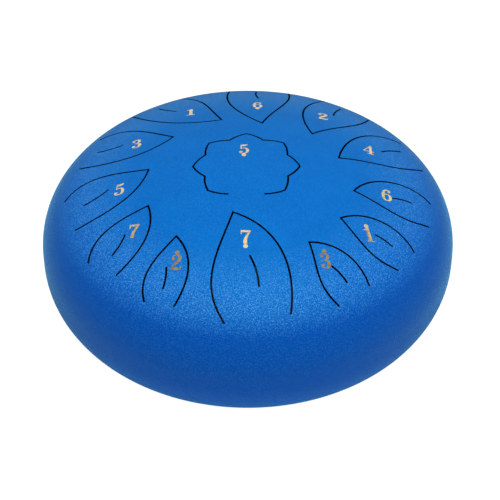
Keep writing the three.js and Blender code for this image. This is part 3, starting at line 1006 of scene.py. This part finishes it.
# %% The figures
FIGURES = {
    "1": [
        bar(0.2, 0.02, 0.38, 0.98),
        shape((0.38, 0.94), (0.38, 1), (0.32, 1), (0.06, 0.88), (0.06, 0.83), (0.22, 0.86)),
        bar(0.05, 0, 0.53, 0.05),
        shape((0.12, 0.04), (0.46, 0.04), (0.38, 0.11), (0.2, 0.11)),
    ],
    "2": [
        disc(0.13, 0.74, 0.09),
        stroke((0.06, 0.76), (0.06, 0.92), (0.16, 0.97), (0.27, 0.97), (0.025, 0.03, 0.03)),
        stroke((0.27, 0.97), (0.42, 0.97), (0.47, 0.86), (0.46, 0.74), (0.03, 0.07, 0.09)),
        stroke((0.46, 0.74), (0.45, 0.5), (0.14, 0.42), (0.07, 0.07), (0.09, 0.07, 0.035)),
        stroke((0.06, 0.07), (0.2, 0.16), (0.32, 0.03), (0.46, 0.07), (0.06, 0.075, 0.07)),
        stroke((0.45, 0.06), (0.53, 0.08), (0.55, 0.16), (0.56, 0.25), (0.06, 0.035, 0.02)),
    ],
    "3": [
        disc(0.13, 0.8, 0.085),
        stroke((0.06, 0.82), (0.08, 0.93), (0.17, 0.97), (0.26, 0.97), (0.025, 0.03, 0.03)),
        stroke((0.26, 0.97), (0.4, 0.97), (0.44, 0.87), (0.43, 0.76), (0.03, 0.065, 0.085)),
        stroke((0.43, 0.76), (0.43, 0.62), (0.34, 0.55), (0.19, 0.53), (0.085, 0.05, 0.03)),
        stroke((0.19, 0.53), (0.38, 0.54), (0.47, 0.43), (0.46, 0.28), (0.03, 0.065, 0.1)),
        stroke((0.46, 0.28), (0.45, 0.12), (0.38, 0.03), (0.25, 0.03), (0.1, 0.06, 0.03)),
        stroke((0.25, 0.03), (0.14, 0.03), (0.06, 0.09), (0.055, 0.2), (0.03, 0.03, 0.025)),
        disc(0.13, 0.2, 0.09),
    ],
    "4": [
        bar(0.34, 0.02, 0.48, 0.98),
        stroke((0.44, 0.97), (0.3, 0.76), (0.16, 0.5), (0.02, 0.31), (0.03, 0.025, 0.025)),
        bar(0, 0.27, 0.6, 0.33),
        bar(0.22, 0, 0.6, 0.05),
    ],
    "5": [
        stroke((0.13, 0.9), (0.24, 0.87), (0.36, 0.89), (0.5, 0.98), (0.07, 0.08, 0.025)),
        bar(0.11, 0.52, 0.17, 0.96),
        stroke((0.14, 0.53), (0.24, 0.66), (0.5, 0.63), (0.49, 0.33), (0.025, 0.045, 0.088)),
        stroke((0.49, 0.33), (0.48, 0.12), (0.38, 0.03), (0.25, 0.03), (0.088, 0.055, 0.03)),
        stroke((0.25, 0.03), (0.14, 0.03), (0.06, 0.08), (0.055, 0.19), (0.03, 0.03, 0.025)),
        disc(0.13, 0.19, 0.09),
    ],
    "6": [
        disc(0.43, 0.83, 0.08),
        stroke((0.5, 0.85), (0.47, 0.94), (0.4, 0.97), (0.33, 0.97), (0.025, 0.03, 0.03)),
        stroke((0.33, 0.97), (0.18, 0.96), (0.1, 0.74), (0.1, 0.42), (0.03, 0.06, 0.08)),
        stroke((0.1, 0.42), (0.1, 0.14), (0.18, 0.03), (0.3, 0.03), (0.08, 0.06, 0.03)),
        stroke((0.3, 0.03), (0.43, 0.03), (0.49, 0.13), (0.49, 0.3), (0.03, 0.06, 0.08)),
        stroke((0.49, 0.3), (0.49, 0.48), (0.43, 0.58), (0.31, 0.58), (0.08, 0.055, 0.03)),
        stroke((0.31, 0.58), (0.21, 0.58), (0.14, 0.5), (0.11, 0.4), (0.03, 0.03, 0.03)),
    ],
    "7": [
        stroke((0.07, 0.91), (0.22, 0.95), (0.36, 0.86), (0.54, 0.93), (0.05, 0.075, 0.055)),
        shape((0.04, 1), (0.04, 0.7), (0.08, 0.7), (0.13, 0.86), (0.11, 0.96), (0.08, 1)),
        stroke((0.53, 0.94), (0.42, 0.66), (0.25, 0.5), (0.27, 0.1), (0.04, 0.065, 0.1)),
        disc(0.27, 0.1, 0.1),
    ],
}
FIGURE_MIDDLE = Vector((0.29, 0.5))
print(f"{len(FIGURES)} figures, drawn with {sum(map(len, FIGURES.values()))} strokes")

# %% [markdown]
# ## Foil stickers on the tongues
#
# Each numeral is a sticker of gold foil, cut to the figure, with a dot above it for the high octave
# or below it for the low one. It is filled flat, given its thickness, and goes through the same
# press as the plate under it, a hair above the paint, so that it follows the dome exactly.

# %% The stickers
FIGURE_HEIGHT = 11.5 * MM
FIGURE_STRETCH = 1.15
FIGURE_STEP = 0.9 * MM
FIGURE_ROOM = 0.28 * MM
FOIL = 0.06 * MM
FOIL_LIFT = 0.015 * MM
DOT_RADIUS = 0.14
DOT_GAP = 0.13

# the figure, the octave's dot (1 above, -1 below, 0 none), the middle in mm, the lean in degrees
NOTES = {
    "low5": ("5", -1, (-2.8, 17.3), 0),
    "low7": ("7", -1, (-1.6, -69.8), 0),
    "low6": ("6", -1, (7.3, 88), 0),
    "middle1": ("1", 0, (-42.6, 80.2), 0),
    "middle2": ("2", 0, (56.3, 76.8), 0),
    "middle3": ("3", 0, (-81.4, 41.8), 0),
    "middle4": ("4", 0, (88.1, 36.4), 0),
    "middle5": ("5", 0, (-91.2, -10.8), -3),
    "middle6": ("6", 0, (98.4, -14.2), 0),
    "middle7": ("7", 0, (-79, -54.4), -6),
    "high1": ("1", 1, (83.6, -56.6), 13),
    "high2": ("2", 1, (-48.6, -85.8), -5),
    "high3": ("3", 1, (52.7, -84.1), 7),
}


def sticker(figure, dot, middle, lean):
    """A thin flat figure with its dot, lifted off the paint and pressed to the dome."""
    stretch = Matrix.Diagonal((FIGURE_STRETCH, 1))
    outlines = [
        [stretch @ (point - FIGURE_MIDDLE) for point in outline] for outline in FIGURES[figure]
    ]
    if dot:
        outlines.append(disc(0, dot * (0.5 + DOT_GAP), DOT_RADIUS))
    turn = Matrix.Rotation(lean * DEGREE, 2)
    place = Vector(middle) * MM
    placed = [[place + turn @ point * FIGURE_HEIGHT for point in outline] for outline in outlines]
    between = [place + point for point in honeycomb(FIGURE_HEIGHT, FIGURE_STEP)]
    mesh = bmesh.new()
    fill_sheet(mesh, placed, [], between, FIGURE_ROOM)
    bmesh.ops.recalc_face_normals(mesh, faces=mesh.faces)
    raised = bmesh.ops.extrude_face_region(mesh, geom=mesh.faces[:])["geom"]
    bmesh.ops.translate(mesh, verts=picked(raised, BMVert), vec=(0, 0, FOIL))
    bmesh.ops.translate(mesh, verts=mesh.verts, vec=(0, 0, FOIL_LIFT))
    bmesh.ops.recalc_face_normals(mesh, faces=mesh.faces)
    press(mesh, 1)
    return mesh


numerals = []
for note, (figure, dot, middle, lean) in NOTES.items():
    numeral = finished(f"numeral_{note}", sticker(figure, dot, middle, lean))
    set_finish(numeral, "gold_foil")
    numerals.append(numeral)

# %% [markdown]
# ## Shader helpers
#
# A finish is a small tree of nodes. One helper adds a node and fills its sockets, either with a
# value or with another node's output, so that each material below reads as a list of ingredients.
# Every pattern reads Object coordinates. All the pieces have their origin on the table under the
# drum, so the grain runs on from piece to piece without a break.

# %% Node helpers
def connect(tree, node, inputs):
    """Fills a node's sockets, either with values or from other nodes' outputs."""
    for name, value in inputs.items():
        if isinstance(value, bpy.types.NodeSocket):
            tree.links.new(value, node.inputs[name])
        else:
            node.inputs[name].default_value = value


def add(tree, kind, inputs=None, **settings):
    """Adds a node to a tree: settings are its own options, inputs go to its sockets."""
    node = tree.nodes.new(kind)
    for name, value in settings.items():
        setattr(node, name, value)
    connect(tree, node, inputs or {})
    return node


def mixed(tree, share, first, second):
    """A colour between two colours, which are sockets 6 and 7 of a Mix node."""
    return add(tree, "ShaderNodeMix", {0: share, 6: first, 7: second}, data_type="RGBA").outputs[2]


def ranged(tree, value, low, high, to_low, to_high):
    """A value carried over from one range to another, and clamped to it."""
    inputs = {"Value": value, "From Min": low, "From Max": high, "To Min": to_low, "To Max": to_high}
    return add(tree, "ShaderNodeMapRange", inputs).outputs["Result"]


def calculated(tree, operation, first, second):
    return add(tree, "ShaderNodeMath", {0: first, 1: second}, operation=operation).outputs[0]


def bumped(tree, height, strength, distance):
    """The tilted normals of a surface whose grain stands out by a distance."""
    bump = add(tree, "ShaderNodeBump", {"Height": height, "Strength": strength, "Distance": distance})
    return bump.outputs["Normal"]


def new_material(name):
    """An empty material, its tree, its Principled shader and its centred object coordinates."""
    material = bpy.data.materials.new(name)
    material.use_nodes = True
    tree = material.node_tree
    shader = tree.nodes["Principled BSDF"]
    place = add(tree, "ShaderNodeTexCoord").outputs["Object"]
    centred = add(tree, "ShaderNodeMapping", {"Vector": place, "Location": (0, 0, -SEAM_HEIGHT)})
    return material, tree, shader, centred.outputs["Vector"]


print("Each finish will be a list of ingredients for one Principled shader")

# %% [markdown]
# ## One grain for every finish
#
# Powder coat, moulded rubber and zinc plate all have a fine grain, only of different size. So the
# grain is a node group, built once: a coarse and a fine noise make its height, and the tops of the
# height are put out as specks. Each material places it with its own scale.

# %% The grain group
FINE_SCALE = 2.7
FINE_SHARE = 0.4
PATCH_SCALE = 0.045
SPECKS_FROM = (0.68, 0.84)
PATCHES_FROM = (0.35, 0.65)

GRAIN = bpy.data.node_groups.new("surface_grain", "ShaderNodeTree")
GRAIN.interface.new_socket("Vector", in_out="INPUT", socket_type="NodeSocketVector")
GRAIN.interface.new_socket("Scale", in_out="INPUT", socket_type="NodeSocketFloat")
for output in ("Height", "Speck", "Patch"):
    GRAIN.interface.new_socket(output, in_out="OUTPUT", socket_type="NodeSocketFloat")
entry = GRAIN.nodes.new("NodeGroupInput").outputs


def noise(share, detail):
    scale = calculated(GRAIN, "MULTIPLY", entry["Scale"], share)
    inputs = {"Vector": entry["Vector"], "Scale": scale, "Detail": detail}
    return add(GRAIN, "ShaderNodeTexNoise", inputs).outputs[0]


fine = calculated(GRAIN, "MULTIPLY", noise(FINE_SCALE, 2), FINE_SHARE)
height = calculated(GRAIN, "ADD", fine, noise(1, 2))
add(GRAIN, "NodeGroupOutput", {
    "Height": height,
    "Speck": ranged(GRAIN, height, *SPECKS_FROM, 0, 1),
    "Patch": ranged(GRAIN, noise(PATCH_SCALE, 4), *PATCHES_FROM, 0, 1),
})
print(f"The grain group has {len(GRAIN.nodes)} nodes")


def grain(tree, vector, scale):
    """The grain's outputs: Height, Speck and Patch."""
    inputs = {"Vector": vector, "Scale": scale}
    return add(tree, "ShaderNodeGroup", inputs, node_tree=GRAIN).outputs

# %% [markdown]
# ## Sky blue powder coat
#
# Powder coat is sprayed on dry and baked, and it cures to a fine sandy skin. Its blue is painted a
# touch deeper low on the sides, which is painted shade. It wears pale specks of grain all over, and
# many more round the shoulder, where they are a painted highlight for the tops of the grain that
# catch the light. The grain also breaks up its weak shine. A little sheen, made for velvet, suits it
# too: it gives the drum's outline the dusty light edge of a powdery skin. In a cut the coat thins out,
# and the depth attribute fades its blue there to a near-black that is partly unpainted steel and
# partly painted shade.

# %% The coat
PALER_BLUE = (0.0008, 0.146, 0.54, 1)
SKY_BLUE = (0.0006, 0.134, 0.51, 1)
# painted shade: the deeper blue low on the sides
SHADED_SIDE_BLUE = (0.0005, 0.076, 0.41, 1)
# pale grain specks everywhere, and on the shoulder a painted highlight
SPECK_AND_HIGHLIGHT_BLUE = (0.06, 0.26, 0.72, 1)
# near-black in a cut: partly unpainted steel, partly painted shade
UNPAINTED_AND_SHADED_CUT = (0.003, 0.006, 0.02, 1)
# shares of the wall's depth between which the coat fades to near-black, partly unpainted steel and partly
# painted shade
COAT_FADES = (0.01, 0.06)
# heights over the seam between which the painted shade on the sides gives way to the crown's blue, and the
# band of painted highlight specks begins and ends
SIDE_SHADE_TO_CROWN = (33 * MM, 50 * MM)
HIGHLIGHT_BAND_BEGINS = (32 * MM, 45 * MM)
HIGHLIGHT_BAND_ENDS = (49 * MM, 60 * MM)
STRAY_SPECKS = 0.2


def powder_coat():
    material, tree, shader, place = new_material("sky_blue_powder_coat")
    grit = grain(tree, place, 1150)
    rise = add(tree, "ShaderNodeSeparateXYZ", {"Vector": place}).outputs["Z"]
    depth = add(tree, "ShaderNodeAttribute", attribute_name=DEPTH_NAME).outputs["Fac"]
    # partly unpainted steel, partly painted shade: the blue goes near-black deep in a cut
    bare_and_shaded = ranged(tree, depth, *COAT_FADES, 0, 1)

    crown_blue = mixed(tree, grit["Patch"], SKY_BLUE, PALER_BLUE)
    # painted shade: the blue deepens low on the sides
    blue = mixed(tree, ranged(tree, rise, *SIDE_SHADE_TO_CROWN, 0, 1), SHADED_SIDE_BLUE, crown_blue)
    # painted highlight: the specks crowd into a band round the shoulder, and stay sparse elsewhere as grain
    up_the_shoulder = ranged(tree, rise, *HIGHLIGHT_BAND_BEGINS, STRAY_SPECKS, 1)
    over_the_crown = ranged(tree, rise, *HIGHLIGHT_BAND_ENDS, 1, STRAY_SPECKS)
    painted_highlight_band = calculated(tree, "MULTIPLY", up_the_shoulder, over_the_crown)
    sparkle = calculated(tree, "MULTIPLY", grit["Speck"], painted_highlight_band)
    specked_and_highlighted = mixed(tree, sparkle, blue, SPECK_AND_HIGHLIGHT_BLUE)

    smooth = ranged(tree, grit["Speck"], 0, 1, 0.3, 0.2)
    connect(tree, shader, {
        "Base Color": mixed(tree, bare_and_shaded, specked_and_highlighted, UNPAINTED_AND_SHADED_CUT),
        "Roughness": calculated(tree, "ADD", smooth, ranged(tree, bare_and_shaded, 0, 1, 0, 0.25)),
        "Normal": bumped(tree, grit["Height"], 1, 0.25 * MM),
        "Specular IOR Level": 0.1, "Specular Tint": (0.1, 0.9, 1, 1),
        "Sheen Weight": 0.6, "Sheen Roughness": 0.35, "Sheen Tint": (0.12, 0.62, 1, 1),
    })
    return material


coat = powder_coat()
for piece in (upper_bowl, lower_bowl, weld):
    piece.data.materials.append(coat)
print(f"The coat is a tree of {len(coat.node_tree.nodes)} nodes")

# %% [markdown]
# ## Unpainted steel and painted shade in the cuts
#
# The faces deeper in the wall get a second material without any sheen: unpainted steel, made
# near-black as painted shade, so that every cut stays a dark line. A material's place in a mesh's
# list is its number on the faces, and the bowl maker has already given these faces the number 1.

# %% Unpainted steel with painted shade
def shaded_bare_steel():
    material, tree, shader, place = new_material("shaded_bare_steel")
    sheet = grain(tree, place, 900)
    connect(tree, shader, {
        # near-black: partly the colour of unpainted steel, partly painted shade
        "Base Color": mixed(tree, sheet["Patch"], (0.003, 0.005, 0.014, 1), (0.004, 0.007, 0.02, 1)),
        "Roughness": ranged(tree, sheet["Patch"], 0, 1, 0.5, 0.6), "Specular IOR Level": 0.1,
    })
    return material


steel = shaded_bare_steel()
for piece in (upper_bowl, lower_bowl):
    piece.data.materials.append(steel)
    inside = sum(face.material_index for face in piece.data.polygons)
    print(f"{piece.name}: {inside} of {len(piece.data.polygons)} faces stay bare")

# %% [markdown]
# ## Rubber, zinc and gold foil
#
# The rubber is black and matt, a little greyer where it has picked up dust. The zinc plate is a
# pale metal whose shine is uneven. The foil is a thin gold metal film, mottled between pale gold
# and bronze, and since metal has no colour but what it mirrors, it needs something pale to mirror.

# %% The other finishes
def rubber():
    material, tree, shader, place = new_material("black_rubber")
    skin = grain(tree, place, 1400)
    connect(tree, shader, {
        "Base Color": mixed(tree, skin["Patch"], (0.012, 0.012, 0.013, 1), (0.024, 0.024, 0.025, 1)),
        "Roughness": ranged(tree, skin["Patch"], 0, 1, 0.72, 0.88), "Specular IOR Level": 0.35,
        "Normal": bumped(tree, skin["Height"], 0.5, 0.05 * MM),
    })
    return material


def zinc():
    material, tree, shader, place = new_material("zinc_plate")
    plate = grain(tree, place, 2200)
    connect(tree, shader, {
        "Base Color": mixed(tree, plate["Patch"], (0.42, 0.44, 0.47, 1), (0.62, 0.63, 0.64, 1)),
        "Metallic": 1, "Roughness": ranged(tree, plate["Speck"], 0, 1, 0.32, 0.2),
        "Normal": bumped(tree, plate["Height"], 0.3, 0.02 * MM),
    })
    return material


def gold_foil():
    material, tree, shader, place = new_material("gold_foil")
    film = grain(tree, place, 420)
    connect(tree, shader, {
        "Base Color": mixed(tree, film["Speck"], (0.9, 0.74, 0.42, 1), (0.72, 0.5, 0.2, 1)),
        "Metallic": 1, "Roughness": ranged(tree, film["Patch"], 0, 1, 0.26, 0.2),
        "Normal": bumped(tree, film["Height"], 0.4, 0.03 * MM),
    })
    return material


finishes = {"rubber": rubber(), "zinc_steel": zinc(), "gold_foil": gold_foil()}
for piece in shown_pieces():
    if piece.get("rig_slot") in finishes:
        piece.data.materials.append(finishes[piece["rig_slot"]])

# %% [markdown]
# ## The table
#
# The drum stands on a pale floor in a white studio. White surroundings would wash out its blue, so
# the Light Path node shows the camera a floor that glows white, sends a weaker glow up to the coat,
# and leaves the coat only a grey floor to mirror. The glow fades out under the drum, where a real
# floor lies in the dark.

# %% The floor
FLOOR_REACH = 3
SHADOW_EDGE = (50 * MM, 100 * MM)
GLOW_SEEN = 0.97
GLOW_GIVEN = 0.35

floor_mesh = bmesh.new()
bmesh.ops.create_grid(floor_mesh, x_segments=1, y_segments=1, size=FLOOR_REACH)
floor_data = bpy.data.meshes.new("floor")
floor_mesh.to_mesh(floor_data)
floor = bpy.data.objects.new("floor", floor_data)
bpy.context.scene.collection.objects.link(floor)
floor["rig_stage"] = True


def pale_floor():
    material, tree, shader, place = new_material("pale_floor")
    ray = add(tree, "ShaderNodeLightPath").outputs
    plan = add(tree, "ShaderNodeMapping", {"Vector": place, "Scale": (1, 1, 0)}).outputs["Vector"]
    distance = add(tree, "ShaderNodeVectorMath", {0: plan}, operation="LENGTH").outputs["Value"]
    in_the_open = ranged(tree, distance, *SHADOW_EDGE, 0, 1)
    seen = calculated(tree, "MULTIPLY", ray["Is Camera Ray"], GLOW_SEEN)
    given = calculated(tree, "MULTIPLY", ray["Is Diffuse Ray"], GLOW_GIVEN)
    glow = calculated(tree, "ADD", seen, given)
    connect(tree, shader, {
        "Base Color": mixed(tree, ray["Is Diffuse Ray"], (0.25, 0.25, 0.25, 1), (0.9, 0.9, 0.9, 1)),
        "Roughness": 0.9, "Specular IOR Level": 0.1, "Emission Color": (1, 1, 1, 1),
        "Emission Strength": calculated(tree, "MULTIPLY", glow, in_the_open),
    })
    return material


floor.data.materials.append(pale_floor())
print(f"The floor reaches {FLOOR_REACH} m each way")

# %% [markdown]
# ## The light
#
# A wide soft light hangs over the drum's front half and draws the broad sheen on the front shoulder,
# and a weak one fills the right side. Light linking does the rest. A tent of cards lights the gold
# foil alone. The overhead light leaves out the foil, and also the screws, nuts and washers, since
# those inside would glint through a cut.

# %% Lights
foil_pieces = bpy.data.collections.new("foil_pieces")
broad_pieces = bpy.data.collections.new("broad_pieces")
for piece in [*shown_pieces(), floor]:
    if piece in numerals:
        foil_pieces.objects.link(piece)
    elif piece.get("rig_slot") != "zinc_steel":
        broad_pieces.objects.link(piece)

# the cards stand on the floor
CARD_HEIGHT = 1.68
CARD_MIDDLE = CARD_HEIGHT / 2

# name, place, the point that it faces, width and height, power, and the only pieces that it lights
LIGHTS = [
    ("overhead_light", (0.06, -0.17, 1.2), (0.06, -0.17, 0), (0.8, 0.3), 10, broad_pieces),
    ("front_fill", (0.9, -0.9, 0.45), (0, 0, 0.06), (0.8, 0.6), 0.6, None),
    ("foil_back_card", (0, 0.9, CARD_MIDDLE), (0, 0, CARD_MIDDLE), (2.6, CARD_HEIGHT), 10.5, foil_pieces),
    ("foil_front_card", (0, -1.3, CARD_MIDDLE), (0, 0, CARD_MIDDLE), (2.6, CARD_HEIGHT), 10.5, foil_pieces),
    ("foil_left_card", (-1.3, 0, CARD_MIDDLE), (0, 0, CARD_MIDDLE), (1.8, CARD_HEIGHT), 7.3, foil_pieces),
    ("foil_right_card", (1.3, 0, CARD_MIDDLE), (0, 0, CARD_MIDDLE), (1.8, CARD_HEIGHT), 7.3, foil_pieces),
    ("foil_top_card", (0, 0.33, 1.05), (0, -0.07, 0.13), (0.36, 0.4), 0.33, foil_pieces),
    ("foil_ceiling", (0, -0.1, 1.3), (0, -0.1, 0), (1.6, 1.2), 1.4, foil_pieces),
]
for name, place, facing, size, power, only in LIGHTS:
    light = bpy.data.lights.new(name, "AREA")
    light.shape = "RECTANGLE"
    light.size, light.size_y = size
    light.energy = power
    lamp = bpy.data.objects.new(name, light)
    lamp.location = place
    lamp.rotation_euler = (Vector(facing) - Vector(place)).to_track_quat("-Z", "Y").to_euler()
    bpy.context.scene.collection.objects.link(lamp)
    lamp.visible_camera = False
    lamp.light_linking.receiver_collection = only

# %% [markdown]
# ## The world and the camera
#
# The world is white for the camera and dim for all else, and dimmer still for reflections. The
# camera stands on the player's side and looks down from well above. It has a long lens and stands
# far back, so that the drum hardly narrows towards its far edge.

# %% World and camera
WORLD_LIGHT = 0.36
WORLD_REFLECTION = 0.11
VIEW_ELEVATION = 41 * DEGREE
VIEW_DISTANCE = 1.25
LENS = 122.16
FRAME_RIGHT = 1.55 * MM
FRAME_DOWN = 7.8 * MM

world = bpy.data.worlds.new("studio")
world.use_nodes = True
ray = add(world.node_tree, "ShaderNodeLightPath").outputs
unseen = ranged(world.node_tree, ray["Is Glossy Ray"], 0, 1, WORLD_LIGHT, WORLD_REFLECTION)
seen = calculated(world.node_tree, "MAXIMUM", ray["Is Camera Ray"], unseen)
connect(world.node_tree, world.node_tree.nodes["Background"], {"Color": (1, 1, 1, 1), "Strength": seen})
bpy.context.scene.world = world
bpy.context.scene.view_settings.view_transform = "Standard"

seam_middle = Vector((0, 0, SEAM_HEIGHT))
back = Vector((0, -math.cos(VIEW_ELEVATION), math.sin(VIEW_ELEVATION)))
view_up = Vector((0, math.sin(VIEW_ELEVATION), math.cos(VIEW_ELEVATION)))
camera = bpy.data.objects.new("camera", bpy.data.cameras.new("camera"))
camera.data.lens = LENS
camera.location = seam_middle + back * VIEW_DISTANCE
aim = seam_middle + Vector((FRAME_RIGHT, 0, 0)) - view_up * FRAME_DOWN
camera.rotation_euler = (aim - camera.location).to_track_quat("-Z", "Y").to_euler()
bpy.context.scene.collection.objects.link(camera)
bpy.context.scene.camera = camera
print(f"The camera stands {camera.location.z:.2f} m above the table")
